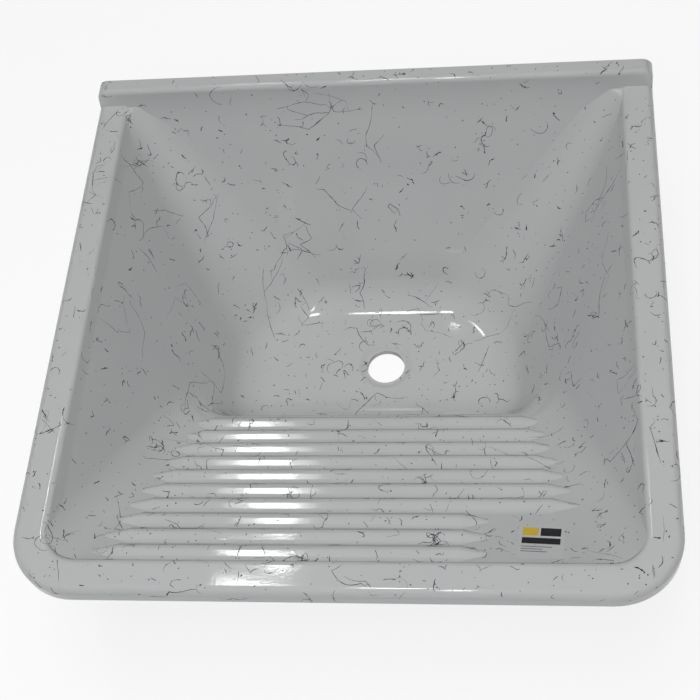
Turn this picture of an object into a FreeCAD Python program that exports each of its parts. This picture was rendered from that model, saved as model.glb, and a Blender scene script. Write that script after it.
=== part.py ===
"""A cast laundry sink: a gel-coated casting with a washboard, an open drain hole and a film label.

Frame: origin in the middle of the face that stands against the wall, at the height of the rim's top.
+X is to the right of someone standing at the sink, +Y points into the wall and +Z is up.
"""

import FreeCAD, Part
import math
import os

from FreeCAD import Vector

# Overall size
WIDTH = 600.0
DEPTH = 590.0
BOWL_DEPTH = 215.0
FRONT_CORNER_RADIUS = 62.0

# Layers of the casting
WALL = 10.0
GELCOAT = 0.8

# Rim: a rolled edge with a turned-down lip, whose inner flank runs into the bowl
RIM_WIDTH = 31.0
RIM_OUTER_RADIUS = 8.0
RIM_INNER_RADIUS = 6.0
RIM_FLANK_DRAFT = 26.0
RIM_JOIN_DEPTH = 14.0
LIP_DROP = 18.0
LIP_THICKNESS = 9.0

# Rail along the wall
RAIL_HEIGHT = 17.0
RAIL_THICKNESS = 17.0
RAIL_DRAFT = 15.0
RAIL_EDGE_RADIUS = 6.0
RAIL_END_RADIUS = 12.0
RAIL_JOIN_DEPTH = 6.0
RAIL_BLEND_RADIUS = 140.0

# Bowl: angles are measured from the vertical
SIDE_DRAFT = 30.0
REAR_DRAFT = 30.0
STEP_DRAFT = 13.0
BOWL_RADIUS = 50.0
REAR_CREASE_TOP_RADIUS = 25.0
REAR_CREASE_LOW_RADIUS = 105.0
BACK_RADIUS = 45.0

# Washboard: a slope with waves, its angle measured from the horizontal and the waves' from the slope
BOARD_SLOPE = 30.4
BOARD_DROP = 12.0
BOARD_EDGE_BACK_RADIUS = 5.0
RIB_COUNT = 10
RIB_PITCH = 24.8
RIB_HEIGHT = 5.6
RIB_FLANK = 31.2
RIB_CREST_RADIUS = 7.0
RIB_FOOT = 12.0
RIB_FOOT_EASE = 1.5
RIB_VALLEY = 0.3
RIB_TOE = 3.0
RIB_RUNOUT = 26.0
RIB_MARGIN_FRONT = 31.0
RIB_MARGIN_REAR = 8.0

# Smooth soap rest at the front right, where the first ribs stop short
REST_RIBS = 3
REST_WIDTH = 95.0

# Drain: a hole for a waste fitting in a shallow dished seat
DRAIN_DIAMETER = 42.0
DRAIN_SIDE_OFFSET = 7.0
SEAT_DIAMETER = 48.0
SEAT_DEPTH = 3.0
SEAT_FLARE = 6.0

# Label on the soap rest
LABEL_WIDTH = 40.0
LABEL_HEIGHT = 48.0
LABEL_THICKNESS = 0.15
LABEL_CORNER_RADIUS = 2.0
LABEL_FROM_RIBS = 24.0
LABEL_FROM_RIM = 6.0
LABEL_TURN = -4.0

# How far the cutting and filling shapes reach past the faces that they make
REACH = 40.0
SINK_IN = 2.0
STOCK_INSET = 9.0
FAR = 5000.0

# The casting's hidden core has flats in place of each rounding, and tighter creases along the board
CORE_FLATS = 3
CORE_EASE = 9.0

# How near two places are that count as the same
TOUCH = 1e-4

X = Vector(1, 0, 0)
Y = Vector(0, 1, 0)
Z = Vector(0, 0, 1)


def tan(degrees):
    return math.tan(math.radians(degrees))


def sin(degrees):
    return math.sin(math.radians(degrees))


def cos(degrees):
    return math.cos(math.radians(degrees))


# Places that several pieces share
FRONT = -DEPTH
FLANK_REACH = RIM_WIDTH + RIM_JOIN_DEPTH * tan(RIM_FLANK_DRAFT)
MOUTH_HALF_WIDTH = WIDTH / 2 - FLANK_REACH + RIM_JOIN_DEPTH * tan(SIDE_DRAFT)
RAIL_FACE_REACH = RAIL_THICKNESS + (RAIL_HEIGHT + RAIL_JOIN_DEPTH) * tan(RAIL_DRAFT)
MOUTH_REAR = RAIL_JOIN_DEPTH * tan(REAR_DRAFT) - RAIL_FACE_REACH
BOARD_START = Vector(0, FRONT + RIM_WIDTH + BOARD_DROP * tan(RIM_FLANK_DRAFT), -BOARD_DROP)
BOARD_EDGE_RADIUS = BOARD_EDGE_BACK_RADIUS + WALL
BOARD_EDGE_SETBACK = BOARD_EDGE_RADIUS * tan((90 - STEP_DRAFT - BOARD_SLOPE) / 2)
BOARD_LENGTH = RIB_COUNT * RIB_PITCH + BOARD_EDGE_SETBACK
DOWN_BOARD = Vector(0, cos(BOARD_SLOPE), -sin(BOARD_SLOPE))
OFF_BOARD = Vector(0, sin(BOARD_SLOPE), cos(BOARD_SLOPE))
BOARD_EDGE = BOARD_START + DOWN_BOARD * BOARD_LENGTH
FLOOR_FRONT = BOARD_EDGE.y + (BOWL_DEPTH + BOARD_EDGE.z) * tan(STEP_DRAFT)
FLOOR_REAR = MOUTH_REAR - BOWL_DEPTH * tan(REAR_DRAFT)
DRAIN_Y = (FLOOR_FRONT + FLOOR_REAR) / 2
REAR_FOOT = Vector(0, FLOOR_REAR, -BOWL_DEPTH)
STEP_FOOT = Vector(0, FLOOR_FRONT, -BOWL_DEPTH)
OFF_REAR = Vector(0, -cos(REAR_DRAFT), sin(REAR_DRAFT))
OFF_STEP = Vector(0, cos(STEP_DRAFT), sin(STEP_DRAFT))
OFF_SIDES = [Vector(turn * cos(SIDE_DRAFT), 0, sin(SIDE_DRAFT)) for turn in (1, -1)]
REAR_CREASE_GRADIENT = Z * ((REAR_CREASE_TOP_RADIUS - REAR_CREASE_LOW_RADIUS) / BOWL_DEPTH)


def wall_half_width(z):
    """Half the distance between the bowl's side walls at height z."""
    return MOUTH_HALF_WIDTH + z * tan(SIDE_DRAFT)


def offset_outline(points, distance):
    """Moves each side of a closed counter-clockwise outline outwards by distance."""
    lines = []
    for (ax, ay), (bx, by) in zip(points, points[1:] + points[:1]):
        length = math.hypot(bx - ax, by - ay)
        along = ((bx - ax) / length, (by - ay) / length)
        lines.append((ax + along[1] * distance, ay - along[0] * distance, *along))
    moved = []
    for (px, py, ux, uy), (qx, qy, vx, vy) in zip(lines[-1:] + lines[:-1], lines):
        step = ((qx - px) * vy - (qy - py) * vx) / (ux * vy - uy * vx)
        moved.append((px + ux * step, py + uy * step))
    return moved


def outline_face(points, radii, place, flats=0):
    """A flat face whose corners are rounded, or cut in that many flats inside the rounding.

    place turns an outline's two numbers into a point in space.
    """
    corners = []
    for i, (x, y) in enumerate(points):
        corner = Vector(x, y, 0)
        to_last = (Vector(*points[i - 1], 0) - corner).normalize()
        to_next = (Vector(*points[(i + 1) % len(points)], 0) - corner).normalize()
        half_angle = to_last.getAngle(to_next) / 2
        setback = radii[i] / math.tan(half_angle)
        inward = (to_last + to_next).normalize()
        centre = corner + inward * (radii[i] / math.sin(half_angle))
        middle = centre - inward * radii[i]
        corners.append((corner + to_last * setback, middle, corner + to_next * setback))
    edges = []
    for i, (start, middle, end) in enumerate(corners):
        edges.append(Part.LineSegment(place(corners[i - 1][2]), place(start)).toShape())
        if radii[i] == 0:
            continue
        arc = Part.Arc(place(start), place(middle), place(end)).toShape()
        edges += Part.makePolygon(arc.discretize(flats + 1)).Edges if flats else [arc]
    return Part.Face(Part.Wire(edges))


def side_view(x):
    """Places an outline of (y, z) numbers in the upright plane at x."""
    return lambda p: Vector(x, p.x, p.y)


def front_view(y):
    """Places an outline of (x, z) numbers in the upright plane at y."""
    return lambda p: Vector(p.x, y, p.y)


def plan_view(z):
    """Places an outline of (x, y) numbers in the level plane at z."""
    return lambda p: Vector(p.x, p.y, z)


def fused(shapes):
    return shapes[0].multiFuse(shapes[1:]).removeSplitter()


def hollow(offset):
    """The air in the bowl with sharp inner edges, and its faces moved offset into the casting."""
    board_top = BOARD_START - DOWN_BOARD * ((REACH + BOARD_DROP) / sin(BOARD_SLOPE))
    outline = [
        (board_top.y, board_top.z),
        (BOARD_EDGE.y, BOARD_EDGE.z),
        (FLOOR_FRONT, -BOWL_DEPTH),
        (FLOOR_REAR, -BOWL_DEPTH),
        (MOUTH_REAR + board_top.z * tan(REAR_DRAFT), board_top.z),
    ]
    radii = [0, BOARD_EDGE_RADIUS - offset, 0, 0, 0]
    profile = outline_face(offset_outline(outline, offset), radii, side_view(-WIDTH))
    low = -BOWL_DEPTH - REACH
    high = board_top.z
    section = [
        (-wall_half_width(low), low),
        (wall_half_width(low), low),
        (wall_half_width(high), high),
        (-wall_half_width(high), high),
    ]
    across = outline_face(offset_outline(section, offset), [0] * 4, front_view(-2 * DEPTH))
    return profile.extrude(X * 2 * WIDTH).common(across.extrude(Y * 3 * DEPTH))


def round_hollow():
    """The air in the bowl, its inner edges rounded: the rear creases widen from the mouth to the floor."""
    air = hollow(0)
    for side in OFF_SIDES:
        air = air.common(before_rear_crease(side))
    inner = [edge for edge in air.Edges if is_inner_edge(edge, 0)]
    sharp = [edge for edge in inner if edge.BoundBox.ZLength < TOUCH or edge.BoundBox.YMax < DRAIN_Y]
    return air.makeFillet(BOWL_RADIUS, sharp)


def before_rear_crease(side):
    """The space before the rear wall and a side wall, whose crease is a round cone that touches both."""
    along, middle = crease_lines(OFF_REAR, side)
    slope = REAR_CREASE_GRADIENT.dot(along)
    apex = on_side(REAR_FOOT, side) - along * (REAR_CREASE_LOW_RADIUS / slope)
    axis = (along + middle * slope) * math.copysign(1, slope)
    radius = FAR * math.tan(math.asin(abs(slope) / axis.Length))
    axis.normalize()
    centre = apex + axis * FAR
    rear, flank = (axis.cross(facing).cross(axis).normalize() for facing in (OFF_REAR, side))
    rear_touch = centre - rear * radius
    flank_touch = centre - flank * radius
    rear_far = rear_touch + (flank - rear * rear.dot(flank)) * 4 * FAR
    flank_far = flank_touch + (rear - flank * rear.dot(flank)) * 4 * FAR
    lines = [
        Part.LineSegment(rear_far, rear_touch),
        Part.Arc(rear_touch, centre - (rear + flank).normalize() * radius, flank_touch),
        Part.LineSegment(flank_touch, flank_far),
        Part.LineSegment(flank_far, rear_far),
    ]
    outline = Part.Wire([line.toShape() for line in lines])
    return Part.makeLoft([Part.Vertex(apex), outline], True, True)


def crease_lines(first, second):
    """The way along the crease of two planes, and from it to the middle of a rounding of radius 1."""
    return first.cross(second).normalize(), (first + second) * (1 / (1 + first.dot(second)))


def is_inner_edge(edge, offset):
    """Whether an edge of the bowl's air is one of its creases, and not at its open top."""
    if on_side_wall(edge, offset):
        return edge.BoundBox.ZMin < -BOARD_DROP
    return abs(edge.BoundBox.ZMax + BOWL_DEPTH + offset) < TOUCH


def flat_hollow(offset):
    """The air in the bowl in flats alone, which lie behind its rounded form, for the hidden core."""
    planes = [(REAR_FOOT, Z), (REAR_FOOT, OFF_REAR)] + crease_flats(REAR_FOOT, Z, OFF_REAR, BOWL_RADIUS)
    for side in OFF_SIDES:
        corner = on_side(REAR_FOOT, side)
        rear_crease = crease_flats(corner, OFF_REAR, side, REAR_CREASE_LOW_RADIUS, REAR_CREASE_GRADIENT)
        planes += [(corner, side)] + rear_crease
        for place, facing in [(corner, side)] + rear_crease:
            planes += crease_flats(at_floor(place, facing), Z, facing, BOWL_RADIUS)
    air = in_front(planes, offset)
    board_edge = crease_flats(BOARD_EDGE, OFF_BOARD, OFF_STEP, -BOARD_EDGE_RADIUS)
    parts = []
    for place, facing in [(BOARD_EDGE, OFF_BOARD)] + board_edge + [(BOARD_EDGE, OFF_STEP)]:
        planes = [(place, facing)]
        for side in OFF_SIDES:
            planes += crease_flats(on_side(place, side), facing, side, BOWL_RADIUS - CORE_EASE)
        parts.append(air.common(in_front(planes, offset)))
    step_crease = crease_flats(STEP_FOOT, Z, OFF_STEP, BOWL_RADIUS)
    parts[-1] = parts[-1].common(in_front(step_crease, offset))
    return fused(parts)


def on_side(place, side):
    """The point level with a place in the middle of the sink, on the side wall that faces that way."""
    return place - X * math.copysign(wall_half_width(place.z), side.x)


def at_floor(place, facing):
    """The point where the steepest line through a place on a plane meets the floor."""
    uphill = Z - facing * facing.z
    return place - uphill * ((place.z + BOWL_DEPTH) / uphill.z)


def crease_flats(start, first, second, radius, gradient=Vector()):
    """Planes that touch the rounding between two planes, each as a place on it and the way it faces.

    The rounding has that radius at its start and a gradient from there. On an outer edge it is negative.
    """
    along, middle = crease_lines(first, second)
    axis = along + middle * gradient.dot(along)
    spread = axis.cross(first).getAngle(axis.cross(second))
    planes = []
    for i in range(CORE_FLATS):
        turn = FreeCAD.Rotation(axis, math.degrees(spread) * (i + 1) / (CORE_FLATS + 1))
        facing = turn.multVec(first)
        planes.append((start + (middle - facing) * radius, facing))
    return planes


def in_front(planes, offset):
    """The part of a large block that lies in front of every plane, with each moved back by offset."""
    block = Part.makeBox(FAR, FAR, FAR, Vector(-FAR / 2, -FAR / 2, -FAR / 2))
    for place, facing in planes:
        behind = Part.makeBox(FAR, FAR, FAR, Vector(-FAR / 2, -FAR / 2, -FAR))
        behind.Placement = FreeCAD.Placement(place - facing * offset, FreeCAD.Rotation(Z, facing))
        block = block.cut(behind)
    return block


def on_side_wall(edge, offset):
    """Whether an edge of the bowl's air lies on one of the two drafted side walls."""
    reach = offset / cos(SIDE_DRAFT)
    ends = (edge.FirstParameter, edge.LastParameter, (edge.FirstParameter + edge.LastParameter) / 2)
    points = [edge.valueAt(p) for p in ends]
    return all(abs(abs(p.x) - wall_half_width(p.z) - reach) < TOUCH for p in points)


def rim(offset, flats):
    """The rolled edge along both sides and the front, swept round the front corners."""
    buried = RIM_WIDTH + REACH * tan(RIM_FLANK_DRAFT)
    outline = offset_outline([(0, -REACH), (buried, -REACH), (RIM_WIDTH, 0), (0, 0)], -offset)
    radii = [0, 0, RIM_INNER_RADIUS - offset, RIM_OUTER_RADIUS - offset]
    half = WIDTH / 2
    straight = half - FRONT_CORNER_RADIUS
    corner_y = FRONT + FRONT_CORNER_RADIUS
    left_end = outline_face(outline, radii, lambda p: Vector(p.x - half, corner_y, p.y), flats)
    front_end = outline_face(outline, radii, lambda p: Vector(-straight, FRONT + p.x, p.y), flats)
    side = left_end.extrude(Y * (-corner_y - offset))
    corner = left_end.revolve(Vector(-straight, corner_y, 0), Z, 90)
    front = front_end.extrude(X * 2 * straight)
    mirrored = [piece.mirror(Vector(), X) for piece in (side, corner)]
    return fused([side, corner, front] + mirrored)


def rail(offset, flats):
    """The low rail against the wall, whose face sweeps down into the bowl's rear wall.

    In the core it stops short of its rounded ends.
    """
    foot = MOUTH_REAR - REACH * tan(REAR_DRAFT)
    outline = [
        (foot, -REACH),
        (0, -REACH),
        (0, RAIL_HEIGHT),
        (-RAIL_THICKNESS, RAIL_HEIGHT),
        (-RAIL_FACE_REACH, -RAIL_JOIN_DEPTH),
    ]
    radii = [0, 0, 0, 0, RAIL_BLEND_RADIUS + offset]
    half = WIDTH / 2 - offset - (RAIL_EDGE_RADIUS / 2 if flats else 0)
    section = outline_face(offset_outline(outline, -offset), radii, side_view(-half), flats)
    bar = section.extrude(X * 2 * half)
    top = [edge for edge in bar.Edges if edge.BoundBox.ZMin > RAIL_HEIGHT - offset - TOUCH]
    ends = [edge for edge in top if edge.BoundBox.XLength < TOUCH]
    bar = soften(bar, ends, RAIL_END_RADIUS - offset, flats)
    long = [edge for edge in bar.Edges if edge.BoundBox.XLength > WIDTH / 2]
    high = [edge for edge in long if edge.BoundBox.ZMin > RAIL_HEIGHT - offset - TOUCH]
    front = [edge for edge in high if edge.BoundBox.YMax < -RAIL_THICKNESS / 2]
    return soften(bar, front, RAIL_EDGE_RADIUS - offset, flats)


def soften(solid, edges, radius, flats):
    """Rounds a solid's edges, or cuts them flat inside that rounding."""
    return solid.makeChamfer(radius, edges) if flats else solid.makeFillet(radius, edges)


def rib(index, offset, flats):
    """One washboard rib, whose ends dip and run out in the slope. The core's has no such ends."""
    middle = BOARD_START + DOWN_BOARD * ((index + 0.5) * RIB_PITCH)
    left = middle - X * rib_reach(index)
    right = middle + X * (rest_left() if index < REST_RIBS else rib_reach(index))
    run = X * RIB_RUNOUT
    if flats:
        return rib_section(left + run, OFF_BOARD, offset, flats).extrude(right - left - run * 2)
    dip = OFF_BOARD * (RIB_HEIGHT + RIB_VALLEY)
    route = [left - dip, left + run, right - run, right - dip]
    upward = (route[1] - route[0]).cross(DOWN_BOARD).normalize()
    section = rib_section(route[0], upward, offset, flats)
    return Part.makePolygon(route).makePipeShell([section.OuterWire], True, False, 1)


def rib_section(start, upward, offset, flats):
    """A rib's wave: a round crest, straight flanks, and flatter feet with a small facet above them."""
    apex = RIB_HEIGHT + RIB_CREST_RADIUS * (1 / cos(RIB_FLANK) - 1)
    valley = RIB_PITCH / 2
    knee = (apex - RIB_VALLEY - valley * tan(RIB_FOOT)) / (tan(RIB_FLANK) - tan(RIB_FOOT))
    knee_height = apex - knee * tan(RIB_FLANK)
    toe = valley + RIB_TOE
    rear = [
        (toe, -RIB_HEIGHT),
        (toe, RIB_VALLEY - RIB_TOE * tan(RIB_FOOT)),
        (knee + RIB_FOOT_EASE * cos(RIB_FOOT), knee_height - RIB_FOOT_EASE * sin(RIB_FOOT)),
        (knee - RIB_FOOT_EASE * cos(RIB_FLANK), knee_height + RIB_FOOT_EASE * sin(RIB_FLANK)),
    ]
    outline = rear + [(0, apex)] + [(-along, height) for along, height in reversed(rear)]
    radii = [0] * len(rear) + [RIB_CREST_RADIUS - offset] + [0] * len(rear)
    place = lambda p: start + DOWN_BOARD * p.x + upward * p.y
    return outline_face(offset_outline(outline, -offset), radii, place, flats)


def rib_reach(index):
    """How far a rib runs from the middle of the sink."""
    share = index / (RIB_COUNT - 1)
    margin = RIB_MARGIN_FRONT + (RIB_MARGIN_REAR - RIB_MARGIN_FRONT) * share
    crown = BOARD_START + DOWN_BOARD * ((index + 0.5) * RIB_PITCH)
    return wall_half_width(crown.z) - margin


def rest_left():
    """Where the soap rest begins, at the right ends of the short ribs."""
    return rib_reach(0) - REST_WIDTH


def drain_seat(offset):
    """The dished recess round the drain hole, as the air that fills it."""
    radius = SEAT_DIAMETER / 2 + offset
    foot = Vector(DRAIN_SIDE_OFFSET, DRAIN_Y, -BOWL_DEPTH - SEAT_DEPTH - offset)
    steepness = SEAT_FLARE / SEAT_DEPTH
    height = SEAT_DEPTH + SINK_IN
    return Part.makeCone(radius, radius + steepness * height, height, foot, Z)


def drain_hole():
    top = Vector(DRAIN_SIDE_OFFSET, DRAIN_Y, -BOWL_DEPTH + REACH)
    return Part.makeCylinder(DRAIN_DIAMETER / 2, 2 * REACH + WALL, top, -Z)


def moulded_block(offset, flats):
    """A deep block under the sink's face, with that face moved offset into the casting."""
    ribs = [rib(index, offset, flats) for index in range(RIB_COUNT)]
    return fused([bowl_block(offset, flats), rim(offset, flats), rail(offset, flats)] + ribs)


def bowl_block(offset, flats):
    """The block with the bowl in it, its mouth rounded, or lowered to where that rounding ends."""
    top = -SINK_IN - offset
    if flats:
        top -= RIM_INNER_RADIUS * sin(REAR_DRAFT)
    stock = footprint(STOCK_INSET - offset, SINK_IN, -BOWL_DEPTH - REACH - offset, top)
    air = flat_hollow(offset) if flats else round_hollow()
    bowl = stock.cut(air).cut(drain_seat(offset))
    if flats:
        return bowl
    mouth = [edge for edge in bowl.Edges if is_mouth_edge(edge, top)]
    return bowl.makeFillet(RIM_INNER_RADIUS, mouth)


def is_mouth_edge(edge, top):
    """Whether an edge runs round the bowl's mouth, level with the block's top."""
    box = edge.BoundBox
    half_width = max(abs(box.XMin), abs(box.XMax))
    inside = half_width < WIDTH / 2 - STOCK_INSET - TOUCH and box.YMin > FRONT + STOCK_INSET + TOUCH
    return inside and box.YMax < -SINK_IN - TOUCH and box.ZMin > top - TOUCH


def footprint(inset, rear_inset, low, high):
    """The sink's outline from above, inset and standing from low to high."""
    half = WIDTH / 2 - inset
    outline = [(-half, FRONT + inset), (half, FRONT + inset), (half, -rear_inset), (-half, -rear_inset)]
    radii = [FRONT_CORNER_RADIUS - inset] * 2 + [0, 0]
    return outline_face(outline, radii, plan_view(low)).extrude(Z * (high - low))


def back_envelope():
    """Everything above the casting's plain back: the bowl's outside, the rim's underside and the lip."""
    over = RAIL_HEIGHT + REACH
    inside_lip = footprint(LIP_THICKNESS, LIP_THICKNESS, -LIP_DROP - REACH, over)
    lip = footprint(0, 0, -LIP_DROP, 0).cut(inside_lip)
    outside = hollow(WALL)
    outside = outside.makeFillet(BACK_RADIUS, [edge for edge in outside.Edges if is_inner_edge(edge, WALL)])
    return fused([outside, footprint(0, 0, -WALL, over), lip])


def label():
    """A thin film on the soap rest, turned a little, as it was stuck on by hand."""
    outline = [(0, 0), (LABEL_WIDTH, 0), (LABEL_WIDTH, LABEL_HEIGHT), (0, LABEL_HEIGHT)]
    film = outline_face(outline, [LABEL_CORNER_RADIUS] * 4, plan_view(0)).extrude(Z * LABEL_THICKNESS)
    film.rotate(Vector(LABEL_WIDTH / 2, LABEL_HEIGHT / 2, 0), Z, LABEL_TURN)
    film.rotate(Vector(), X, -BOARD_SLOPE)
    return film.translate(BOARD_START + DOWN_BOARD * LABEL_FROM_RIM + X * (rest_left() + LABEL_FROM_RIBS))


def main():
    os.makedirs("parts", exist_ok=True)
    face_block = moulded_block(0, 0)
    core_block = moulded_block(GELCOAT, CORE_FLATS)
    envelope = back_envelope().cut(drain_hole())
    pieces = {
        "cast_body": core_block.common(envelope),
        "gelcoat_face": face_block.cut(core_block).common(envelope),
        "label_film": label(),
    }
    for name, shape in pieces.items():
        solid = shape.removeSplitter()
        volume = round(solid.Volume / 1000, 1)
        print(name, len(solid.Solids), "solids,", len(solid.Faces), "faces,", volume, "cm3")
        solid.exportStep(f"parts/{name}.step")


main()
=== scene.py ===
# %% [markdown]
# # A cast laundry sink with a strand-patterned gel coat
#
# The sink is one resin casting under a gloss gel coat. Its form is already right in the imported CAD
# model, so this lesson loads that model as a fixed frame and spends its effort on the finishes: the
# gloss coat, the dark fibres that lie in it, the plain back of the casting and a small film label.

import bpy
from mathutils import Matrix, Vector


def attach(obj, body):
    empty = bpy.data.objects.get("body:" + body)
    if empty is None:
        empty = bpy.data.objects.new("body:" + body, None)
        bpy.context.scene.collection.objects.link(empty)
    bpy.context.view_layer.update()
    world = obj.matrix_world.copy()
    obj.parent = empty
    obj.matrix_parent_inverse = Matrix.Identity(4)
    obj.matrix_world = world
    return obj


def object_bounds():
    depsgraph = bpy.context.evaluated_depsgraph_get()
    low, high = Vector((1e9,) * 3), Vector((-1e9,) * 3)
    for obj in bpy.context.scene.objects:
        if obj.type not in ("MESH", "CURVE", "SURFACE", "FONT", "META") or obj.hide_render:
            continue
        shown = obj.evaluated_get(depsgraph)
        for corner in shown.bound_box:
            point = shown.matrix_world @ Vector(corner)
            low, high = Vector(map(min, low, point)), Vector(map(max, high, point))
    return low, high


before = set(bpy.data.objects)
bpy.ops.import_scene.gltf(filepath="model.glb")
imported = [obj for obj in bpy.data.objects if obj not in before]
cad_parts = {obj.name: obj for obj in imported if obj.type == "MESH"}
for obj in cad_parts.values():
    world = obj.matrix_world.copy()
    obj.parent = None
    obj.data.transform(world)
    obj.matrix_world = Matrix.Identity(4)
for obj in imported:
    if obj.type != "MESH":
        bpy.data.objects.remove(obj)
cad_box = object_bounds()
print("CAD nodes:", sorted(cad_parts))

# %% [markdown]
# Blender's own modules come next. Lengths in the frame are metres, but a maker thinks of this sink in
# millimetres, so one constant turns the one into the other.

# %% Modules and units
import math
import random
from collections import namedtuple

import bmesh
import bpy
from mathutils import Matrix, Vector
from mathutils.bvhtree import BVHTree

MM = 0.001
BODY = "root"
LOW, HIGH = (Vector(corner) for corner in cad_box)
scene = bpy.context.scene
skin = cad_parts["gelcoat_face"]
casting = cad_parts["cast_body"]
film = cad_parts["label_film"]
print("the sink is", [round(side / MM) for side in HIGH - LOW], "mm")

# %% [markdown]
# The camera stands where the photographer stood: in front of the sink, a little to the right, looking
# down into the bowl. Its place, turn and lens were worked out from the rim's outline, which is a
# rectangle of known size. The turn has a small roll, because the camera was held by hand.

# %% Camera
CAMERA_PLACE = (0.17782, -1.02131, 1.09595)
CAMERA_TURN = (31.939, 7.075, 3.514)
CAMERA_LENS = 70.24

camera_data = bpy.data.cameras.new("photo_camera")
camera_data.lens = CAMERA_LENS
camera = bpy.data.objects.new("photo_camera", camera_data)
camera.location = CAMERA_PLACE
camera.rotation_euler = [math.radians(angle) for angle in CAMERA_TURN]
scene.collection.objects.link(camera)
scene.camera = camera
print("camera", round(Vector(CAMERA_PLACE).length, 2), "m from the middle of the wall face")

# %% [markdown]
# Materials are node trees. Writing every Math node by hand is long and hard to read, so this small class
# wraps an output socket and lets Python's operators add the nodes: `0.5 + 2 * noise` makes two of them.

# %% Sockets that take part in sums
class Value:
    """A node's output that takes part in sums and products."""

    def __init__(self, finish, socket):
        self.finish = finish
        self.socket = socket

    def math(self, operation, first, second):
        return self.finish.node("ShaderNodeMath", {"operation": operation}, {0: first, 1: second})

    def __add__(self, other):
        return self.math("ADD", self, other)

    __radd__ = __add__

    def __mul__(self, other):
        return self.math("MULTIPLY", self, other)

    __rmul__ = __mul__

    def __sub__(self, other):
        return self.math("SUBTRACT", self, other)


print("a socket can be added, subtracted and multiplied")

# %% [markdown]
# A second class holds the tree of one finish and adds any other node: its type, its settings and the
# values or links of its inputs. Textures take Object coordinates, so they sit still on the sink. A Mix
# node has sockets of the same name for numbers, vectors and colours, so the colour ones go by number.

# %% One finish and its nodes
MIX_SHARE = 0
MIX_FIRST_COLOUR = 6
MIX_SECOND_COLOUR = 7
MIX_COLOUR_RESULT = 2


class Finish:
    """One material and the nodes that are added to it."""

    def __init__(self, name):
        self.material = bpy.data.materials.new(name)
        self.material.use_nodes = True
        self.tree = self.material.node_tree
        self.tree.nodes.clear()

    def node(self, kind, settings=None, inputs=None, output=0):
        node = self.tree.nodes.new(kind)
        for name, value in (settings or {}).items():
            setattr(node, name, value)
        for name, value in (inputs or {}).items():
            if isinstance(value, Value):
                self.tree.links.new(value.socket, node.inputs[name])
            else:
                node.inputs[name].default_value = value
        return Value(self, node.outputs[output]) if node.outputs else None

    def place(self):
        return self.node("ShaderNodeTexCoord", output="Object")

    def noise(self, scale, detail):
        inputs = {"Vector": self.place(), "Scale": scale, "Detail": detail}
        return self.node("ShaderNodeTexNoise", inputs=inputs)

    def blend(self, share, first, second):
        settings = {"data_type": "RGBA"}
        inputs = {MIX_SHARE: share, MIX_FIRST_COLOUR: first, MIX_SECOND_COLOUR: second}
        return self.node("ShaderNodeMix", settings, inputs, MIX_COLOUR_RESULT)

    def bump(self, height, strength, distance):
        inputs = {"Height": height, "Strength": strength, "Distance": distance}
        return self.node("ShaderNodeBump", inputs=inputs)

    def principled(self, **inputs):
        named = {name.replace("_", " "): value for name, value in inputs.items()}
        shader = self.node("ShaderNodeBsdfPrincipled", inputs=named)
        self.node("ShaderNodeOutputMaterial", inputs={"Surface": shader})
        return self.material


def dress(piece, material):
    piece.data.materials.clear()
    piece.data.materials.append(material)


print("finish tools ready")

# %% [markdown]
# The gel coat is a thick gloss polyester layer, light grey, that was sprayed into the mould. It is very
# smooth, but not perfect: the colour clouds by a few percent, and a faint waviness breaks the edges of
# the highlights. Slow noise gives the clouds and fast noise the waviness.

# %% Gel coat
CLOUD_SCALE = 9.0
RIPPLE_SCALE = 420.0
RIPPLE_STRENGTH = 0.03
RIPPLE_HEIGHT = 0.4 * MM
COAT_DARK = (0.40, 0.404, 0.408, 1)
COAT_PALE = (0.436, 0.44, 0.44, 1)
COAT_SMOOTHEST = 0.02
COAT_DULLING = 0.03
RESIN_IOR = 1.5

gelcoat = Finish("gloss_gelcoat")
cloud = gelcoat.noise(CLOUD_SCALE, detail=3.0)
ripple = gelcoat.noise(RIPPLE_SCALE, detail=1.0)
dress(skin, gelcoat.principled(
    Base_Color=gelcoat.blend(cloud, COAT_DARK, COAT_PALE),
    Roughness=COAT_SMOOTHEST + COAT_DULLING * cloud,
    IOR=RESIN_IOR,
    Normal=gelcoat.bump(ripple, RIPPLE_STRENGTH, RIPPLE_HEIGHT),
))
print("gel coat on", skin.name)

# %% [markdown]
# The back of the casting never touched the mould. It is plain grey resin with a fine grit, matte and
# slightly uneven: cloudy where the filler settled, and with low waves where the pour was spread by hand.
# Three noises of different size give the patches, the grit and the waves.

# %% Plain back of the casting
PATCH_SCALE = 14.0
PATCH_START = 0.38
PATCH_STEEPNESS = 3.0
GRIT_SCALE = 700.0
GRIT_MIDDLE = 0.5
GRIT_SHARE = 0.6
GRIT_HEIGHT = 0.25
WAVE_SCALE = 45.0
BACK_BUMP = 0.7
BACK_HEIGHT = 3 * MM
BACK_DARK = (0.34, 0.34, 0.33, 1)
BACK_PALE = (0.49, 0.49, 0.47, 1)
BACK_SMOOTHEST = 0.55
BACK_DULLING = 0.3

back = Finish("poured_resin")
patches = back.noise(PATCH_SCALE, detail=5.0)
grit = back.noise(GRIT_SCALE, detail=2.0)
waves = back.noise(WAVE_SCALE, detail=2.0)
settled = (patches - PATCH_START) * PATCH_STEEPNESS + (grit - GRIT_MIDDLE) * GRIT_SHARE
dress(casting, back.principled(
    Base_Color=back.blend(settled, BACK_DARK, BACK_PALE),
    Roughness=BACK_SMOOTHEST + BACK_DULLING * grit,
    Normal=back.bump(grit * GRIT_HEIGHT + waves, BACK_BUMP, BACK_HEIGHT),
))
print("poured back on", casting.name)

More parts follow.
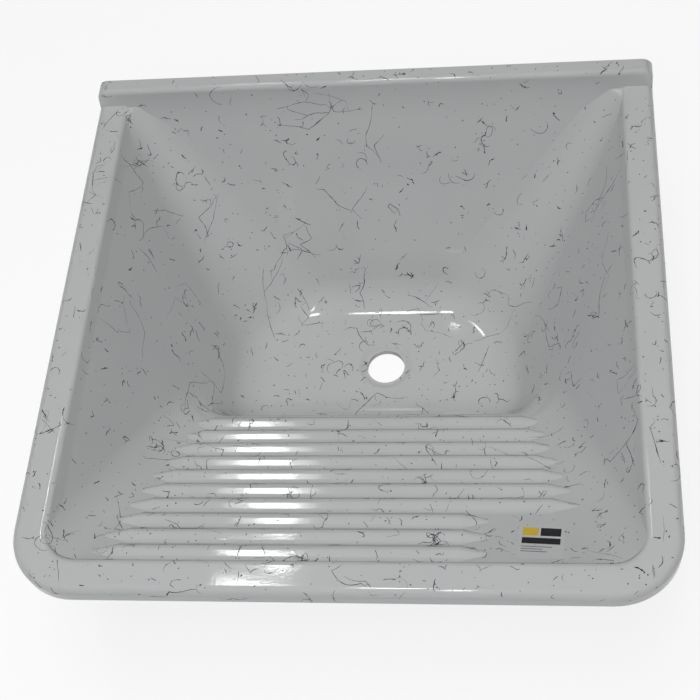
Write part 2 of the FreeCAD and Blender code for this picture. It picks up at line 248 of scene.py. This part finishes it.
# %% [markdown]
# Dark fibres were scattered in the gel coat before the resin was poured. They are real geometry here,
# because a baked picture of the whole sink would blur lines this thin. First a fibre has to land: a ray
# dropped from a random place above the sink finds the coat. Fibres settle, so the steeper a wall is, the
# fewer of them stay on it, and the steepest faces get none.

# %% Landing on the coat
SEED = 20
DROP_HEIGHT = 8 * MM
DOWN = Vector((0, 0, -1))
STEEPEST = 0.1
LEVEL_CHANCE = 0.6
STEEP_FAVOUR = 0.3

dice = random.Random(SEED)
coat_tree = BVHTree.FromPolygons(
    [vertex.co for vertex in skin.data.vertices],
    [tuple(face.vertices) for face in skin.data.polygons],
)


def land_anywhere():
    """A random place on the coat, with the coat's normal there."""
    while True:
        start = Vector((dice.uniform(LOW.x, HIGH.x), dice.uniform(LOW.y, HIGH.y), HIGH.z + DROP_HEIGHT))
        place, normal, _, _ = coat_tree.ray_cast(start, DOWN)
        if place is None or normal.z < STEEPEST:
            continue
        if dice.random() < LEVEL_CHANCE / normal.z ** STEEP_FAVOUR:
            return place, normal


print("coat has", len(skin.data.polygons), "faces to land on")

# %% [markdown]
# From there the fibre walks over the coat: it turns a little, takes a step along the surface and drops
# back on to it from just above. Now and then it kinks. It ends early where the coat falls away, so no
# fibre bridges an edge.

# %% Walking on the coat
KINK_ANGLES = (0.7, 1.7)
LONGEST_JUMP = 2


def walk(start, length, step, wander, bend, kink_chance):
    """The places that one fibre passes from its start, each with the coat's normal there."""
    place, normal = start
    heading = normal.orthogonal().normalized()
    heading.rotate(Matrix.Rotation(dice.uniform(0, math.tau), 3, normal))
    path = [(place, normal)]
    for _ in range(max(1, round(length / step))):
        turn = bend + dice.gauss(0, wander)
        if dice.random() < kink_chance:
            turn += dice.choice((-1, 1)) * dice.uniform(*KINK_ANGLES)
        heading.rotate(Matrix.Rotation(turn, 3, normal))
        above = place + heading * step + normal * DROP_HEIGHT
        landed, facing, _, _ = coat_tree.ray_cast(above, -normal)
        if landed is None or (landed - place).length > LONGEST_JUMP * step:
            break
        heading = (landed - place).normalized()
        place, normal = landed, facing
        path.append((place, normal))
    return path


print("a step may be at most", LONGEST_JUMP, "times as long as planned")

# %% [markdown]
# A fibre becomes a poly spline in a curve object. The bevel gives it a thin body, each point's radius
# swells in the middle and tapers to the ends, here and there it thickens to a knot, and it is sunk so
# that only a sliver stands proud, as a fibre does that the coat has flowed over. At the end the curve
# becomes a mesh, so that its box is that of its faces.

# %% Fibre bodies
FIBRE_RADIUS = 0.44 * MM
SUNK_SHARE = 0.65
TIP_SHARE = 0.35
UNEVENNESS = (0.75, 1.25)
KNOT_CHANCE = 0.14
KNOT_SIZE = 2.0


def fibre_object(name):
    curve = bpy.data.curves.new(name, "CURVE")
    curve.dimensions = "3D"
    curve.bevel_depth = FIBRE_RADIUS
    curve.bevel_resolution = 1
    curve.use_fill_caps = True
    piece = bpy.data.objects.new(name, curve)
    scene.collection.objects.link(piece)
    return piece


def lay_fibre(piece, path, thickness):
    spline = piece.data.splines.new("POLY")
    spline.points.add(len(path) - 1)
    for i, (place, normal) in enumerate(path):
        swell = TIP_SHARE + (1 - TIP_SHARE) * math.sin(math.pi * (i + 0.5) / len(path))
        radius = thickness * swell * dice.uniform(*UNEVENNESS)
        if dice.random() < KNOT_CHANCE:
            radius *= KNOT_SIZE
        centre = place - normal * (radius * FIBRE_RADIUS * SUNK_SHARE)
        spline.points[i].co = (*centre, 1)
        spline.points[i].radius = radius


def as_mesh(piece):
    """The same fibres as a mesh."""
    name, curve = piece.name, piece.data
    bpy.context.view_layer.update()
    shape = bpy.data.meshes.new_from_object(piece.evaluated_get(bpy.context.evaluated_depsgraph_get()))
    bpy.data.objects.remove(piece)
    bpy.data.curves.remove(curve)
    solid = bpy.data.objects.new(name, shape)
    scene.collection.objects.link(solid)
    return solid


print("fibres are", round(2 * FIBRE_RADIUS / MM, 2), "mm thick where nothing swells or thins them")

# %% [markdown]
# The coat holds four kinds of fibre: long kinked threads, curls, short hairs, and specks. A kind is a
# row of a table: how many fibres, their lengths and steps in millimetres, how much they wander, bend and
# kink, how thick they are, and how often one starts on the fibre before it, which makes branches. Three
# objects hold the fibres, from black to a faint grey, as they lie shallow or deep in the coat.

# %% Fibres
FibreKind = namedtuple("FibreKind", "count lengths step wander bend kink_chance thicknesses branch_chance")
FIBRE_KINDS = {
    "long threads": FibreKind(120, (25, 80), 4.0, 0.14, 0.02, 0.10, (0.5, 1.15), 0.35),
    "curls": FibreKind(200, (8, 32), 2.0, 0.16, 0.32, 0.06, (0.6, 1.3), 0.45),
    "short hairs": FibreKind(1100, (2, 13), 1.5, 0.26, 0.08, 0.10, (0.6, 1.6), 0.30),
    "specks": FibreKind(1400, (0.6, 1.6), 0.8, 0.2, 0.0, 0.0, (1.0, 2.2), 0.0),
}
BEND_SPREAD = (0.5, 1.3)
TONES = {"dark_fibres": 0.66, "grey_fibres": 0.22, "faint_fibres": 0.12}


def scatter(kind):
    path = [land_anywhere()]
    for _ in range(kind.count):
        length = dice.uniform(*kind.lengths)
        bend = dice.choice((-1, 1)) * kind.bend * dice.uniform(*BEND_SPREAD)
        start = dice.choice(path) if dice.random() < kind.branch_chance else land_anywhere()
        path = walk(start, length * MM, kind.step * MM, kind.wander, bend, kind.kink_chance)
        tone = dice.choices(list(TONES), list(TONES.values()))[0]
        if len(path) > 1:
            lay_fibre(fibres[tone], path, dice.uniform(*kind.thicknesses))


fibres = {name: fibre_object(name) for name in TONES}
for kind in FIBRE_KINDS.values():
    scatter(kind)
fibres = {name: as_mesh(piece) for name, piece in fibres.items()}
for name, piece in fibres.items():
    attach(piece, BODY)
    print(name, len(piece.data.polygons), "faces")

# %% [markdown]
# The coat covers the fibres evenly, so their round bodies don't shine: a refractive index near 1 takes
# their own gloss away. Along each fibre the colour changes between near black and a pale grey, as it
# dips deeper into the coat and comes up again: noise gives the dips, and a steep line through its middle
# values keeps most of the length dark.

# %% Fibre finishes
FIBRE_COLOURS = {
    "dark_fibres": (0.012, 0.015, 0.017, 1),
    "grey_fibres": (0.05, 0.06, 0.063, 1),
    "faint_fibres": (0.17, 0.18, 0.18, 1),
}
DEEP_COLOUR = (0.24, 0.245, 0.245, 1)
DIP_SCALE = 130.0
DIP_START = 0.54
DIP_STEEPNESS = 4.0
FIBRE_ROUGHNESS = 0.15
COVERED_IOR = 1.1

for name, colour in FIBRE_COLOURS.items():
    finish = Finish(name + "_finish")
    dip = (finish.noise(DIP_SCALE, detail=2.0) - DIP_START) * DIP_STEEPNESS
    dress(fibres[name], finish.principled(
        Base_Color=finish.blend(dip, colour, DEEP_COLOUR),
        Roughness=FIBRE_ROUGHNESS,
        IOR=COVERED_IOR,
    ))
print("fibre finishes on", list(FIBRE_COLOURS))

# %% [markdown]
# The label is a clear film with a small print, stuck on the sloping soap rest. The print is drawn in
# millimetres on the film's own axes. The broad face gives the way off the film, and the largest side
# face that looks to the right gives the way across. A Mapping node of type Texture then turns the sink's
# coordinates into those of the film.

# %% Axes of the label film
LOOKS_RIGHT = 0.9

broad = max(film.data.polygons, key=lambda face: face.normal.z * face.area)
right_faces = [face for face in film.data.polygons if face.normal.x > LOOKS_RIGHT]
right = max(right_faces, key=lambda face: face.area)
film_axes = Matrix((right.normal, broad.normal.cross(right.normal), broad.normal)).transposed()
film_middle = [(min(row) + max(row)) / 2 for row in zip(*(vertex.co for vertex in film.data.vertices))]

label = Finish("printed_film")
on_film = label.node("ShaderNodeMapping", {"vector_type": "TEXTURE"}, {
    "Vector": label.place(),
    "Location": film_middle,
    "Rotation": film_axes.to_euler(),
    "Scale": (MM, MM, MM),
})
across = label.node("ShaderNodeSeparateXYZ", inputs={"Vector": on_film}, output="X")
upward = label.node("ShaderNodeSeparateXYZ", inputs={"Vector": on_film}, output="Y")
print("film's middle at", [round(value / MM) for value in film_middle], "mm")

# %% [markdown]
# The print is made of plain patches and bars. A patch is where two Compare nodes agree, one for the way
# across and one for the way up, and patches that don't overlap add up to one mask for each ink.

# %% Print on the label
BLACK_BOXES = [(-1, 9, 18, 12), (-17, -3, 34, 9)]
YELLOW_BOXES = [(-17, 9, 14, 12)]
GREY_BARS = [(-17, -8, 27, 1.2), (-17, -11.5, 19, 1.2), (-17, -15, 23, 1.2)]


def near(value, middle, reach):
    return label.node("ShaderNodeMath", {"operation": "COMPARE"}, {0: value, 1: middle, 2: reach})


def patches_of(boxes):
    """1 inside any of the boxes, which are (left, low, width, height) and don't overlap."""
    total = 0.0
    for left, low, width, height in boxes:
        covered = near(across, left + width / 2, width / 2) * near(upward, low + height / 2, height / 2)
        total = covered + total
    return total


black = patches_of(BLACK_BOXES)
yellow = patches_of(YELLOW_BOXES)
bars = patches_of(GREY_BARS)
print(len(BLACK_BOXES + YELLOW_BOXES), "patches and", len(GREY_BARS), "bars")

# %% [markdown]
# The film is so clear that it is painted in the coat's grey with a faint haze. The lower face of a film
# that is see-through would share the coat's plane, and rays that pass it would miss the coat. The bars
# are printed thinner than the patches, so they come out grey, and fine noise gives the film its handled
# gloss.

# %% Label film
FILM_COLOUR = (0.43, 0.434, 0.438, 1)
BLACK_INK = (0.010, 0.010, 0.012, 1)
YELLOW_INK = (0.52, 0.36, 0.03, 1)
BAR_INK_SHARE = 0.7
WEAR_SCALE = 500.0
FILM_SMOOTHEST = 0.12
FILM_DULLING = 0.12

wear = label.noise(WEAR_SCALE, detail=2.0)
ink = label.blend(yellow, BLACK_INK, YELLOW_INK)
dress(film, label.principled(
    Base_Color=label.blend(black + yellow + BAR_INK_SHARE * bars, FILM_COLOUR, ink),
    Roughness=FILM_SMOOTHEST + FILM_DULLING * wear,
))
print("label print on", film.name)

# %% [markdown]
# The stage is a pale floor, just under the sink's lowest face. It is one square, so large that a view from
# the side hardly shows its end.

# %% Floor
FLOOR_SIZE = 400.0
FLOOR_GAP = 0.5 * MM

floor_mesh = bmesh.new()
bmesh.ops.create_grid(floor_mesh, x_segments=1, y_segments=1, size=FLOOR_SIZE / 2)
bmesh.ops.translate(floor_mesh, verts=floor_mesh.verts, vec=(0, 0, LOW.z - FLOOR_GAP))
floor_data = bpy.data.meshes.new("floor")
floor_mesh.to_mesh(floor_data)
floor_mesh.free()
floor = bpy.data.objects.new("floor", floor_data)
scene.collection.objects.link(floor)
print("floor at", round(LOW.z / MM, 1), "mm")

# %% [markdown]
# For the camera and for mirrored rays the floor glows at nearly white, as the plain ground of a product
# picture. A share of it stays an ordinary surface that takes the sink's shadow. Diffuse rays see only
# that surface, so the glow doesn't light the sink.

# %% Floor finish
GLOW_COLOUR = (1.0, 1.0, 1.0, 1)
GLOW_STRENGTH = 1.0
GLOW_SHARE = 0.82
PAPER_COLOUR = (0.8, 0.8, 0.8, 1)
BACKGROUND_RAYS = ["Is Camera Ray", "Is Glossy Ray", "Is Transmission Ray"]

ground = Finish("pale_floor")
seen = [ground.node("ShaderNodeLightPath", output=kind) for kind in BACKGROUND_RAYS]
glow = ground.node("ShaderNodeEmission", inputs={"Color": GLOW_COLOUR, "Strength": GLOW_STRENGTH})
paper = ground.node("ShaderNodeBsdfDiffuse", inputs={"Color": PAPER_COLOUR})
surface = ground.node("ShaderNodeMixShader", inputs={0: sum(seen) * GLOW_SHARE, 1: paper, 2: glow})
ground.node("ShaderNodeOutputMaterial", inputs={"Surface": surface})
dress(floor, ground.material)
print("floor finish on", floor.name)

# %% [markdown]
# Round the sink is a pale room that gives a little light from every side. The Standard view shows
# colours about as they are written.

# %% Room
ROOM_COLOUR = (0.95, 0.97, 1.0, 1)
ROOM_STRENGTH = 0.12

scene.view_settings.view_transform = "Standard"
room = bpy.data.worlds.new("pale_room")
room.use_nodes = True
room.node_tree.nodes["Background"].inputs["Color"].default_value = ROOM_COLOUR
room.node_tree.nodes["Background"].inputs["Strength"].default_value = ROOM_STRENGTH
scene.world = room
print("room light", ROOM_STRENGTH)

# %% [markdown]
# All lamps are ovals that face the sink. A lamp's place is given as the way to it: the parts of a step of
# length 1 that go to the right and back. Its width and length are shares of its distance, so they are
# angles in effect, and its brightness is that of its face, whatever its size.

# %% Lamps
LAMP_TARGET = Vector((0, -0.4, 0))
ACROSS = Vector((1, 0, 0))
Lamp = namedtuple("Lamp", "right back width length roll distance brightness")


def hang(name, lamp):
    """Hangs an oval lamp, its width along +X before it is rolled by some degrees."""
    towards = Vector((lamp.right, lamp.back, math.sqrt(1 - lamp.right ** 2 - lamp.back ** 2)))
    data = bpy.data.lights.new(name, "AREA")
    data.shape = "ELLIPSE"
    data.size = lamp.width * lamp.distance
    data.size_y = lamp.length * lamp.distance
    face_area = math.pi / 4 * data.size * data.size_y
    data.energy = lamp.brightness * math.pi * face_area
    piece = bpy.data.objects.new(name, data)
    piece.location = LAMP_TARGET + towards * lamp.distance
    side = (ACROSS - towards * lamp.right).normalized()
    facing = Matrix((side, towards.cross(side), towards)).transposed()
    facing = facing @ Matrix.Rotation(math.radians(lamp.roll), 3, "Z")
    piece.rotation_euler = facing.to_euler()
    scene.collection.objects.link(piece)
    return piece


print("lamps face", tuple(LAMP_TARGET))

# %% [markdown]
# The light is soft and comes mostly from above and from the front, so level faces and the rear wall are
# lighter than the side walls. Two broad lamps give it. They are hidden from mirrored rays, for the coat
# shows no such broad lamp. The one above is a trace warmer than the one in front.

# %% Soft lamps
SOFT_SIZE = 0.60
SOFT_DISTANCE = 2.5
SOFT_LAMPS = {
    "soft_above": Lamp(0, 0, SOFT_SIZE, SOFT_SIZE, 0, SOFT_DISTANCE, 5.6),
    "soft_front": Lamp(0, -0.5, SOFT_SIZE, SOFT_SIZE, 0, SOFT_DISTANCE, 5.79),
}
SOFT_COLOURS = {"soft_above": (1.0, 1.0, 0.975), "soft_front": (0.965, 0.98, 1.0)}

for name, soft_lamp in SOFT_LAMPS.items():
    piece = hang(name, soft_lamp)
    piece.data.color = SOFT_COLOURS[name]
    piece.visible_glossy = False
print("soft lamps:", list(SOFT_LAMPS))

# %% [markdown]
# What the coat does show is a few small bright lamps, far above: their images are the short streaks on
# the ribs, the rim, the rail and the foot of the rear wall. Each lamp's place follows from where its
# streak lies, by mirroring the view at the coat there. A dimmer oval round the ribs' lamp lets their
# streaks fade out at the ends.

# %% Streak lamps
FAR = 20.0
BRIGHT = 22.0
DIM = 5.0
STREAK_LAMPS = {
    "ribs_lamp": Lamp(-0.202, 0.413, 0.040, 0.104, 16, FAR, BRIGHT),
    "ribs_fringe_lamp": Lamp(-0.202, 0.413, 0.078, 0.108, 16, FAR, DIM),
    "rim_lamp": Lamp(-0.204, 0.352, 0.072, 0.013, -12, FAR, BRIGHT),
    "dash_lamp": Lamp(-0.056, 0.556, 0.006, 0.008, 0, FAR, BRIGHT),
    "floor_lamp": Lamp(-0.106, 0.100, 0.066, 0.110, 0, FAR, BRIGHT),
    "front_lamp": Lamp(-0.055, -0.200, 0.022, 0.300, 0, FAR, BRIGHT),
}

for name, streak_lamp in STREAK_LAMPS.items():
    hang(name, streak_lamp)
print("streak lamps:", list(STREAK_LAMPS))
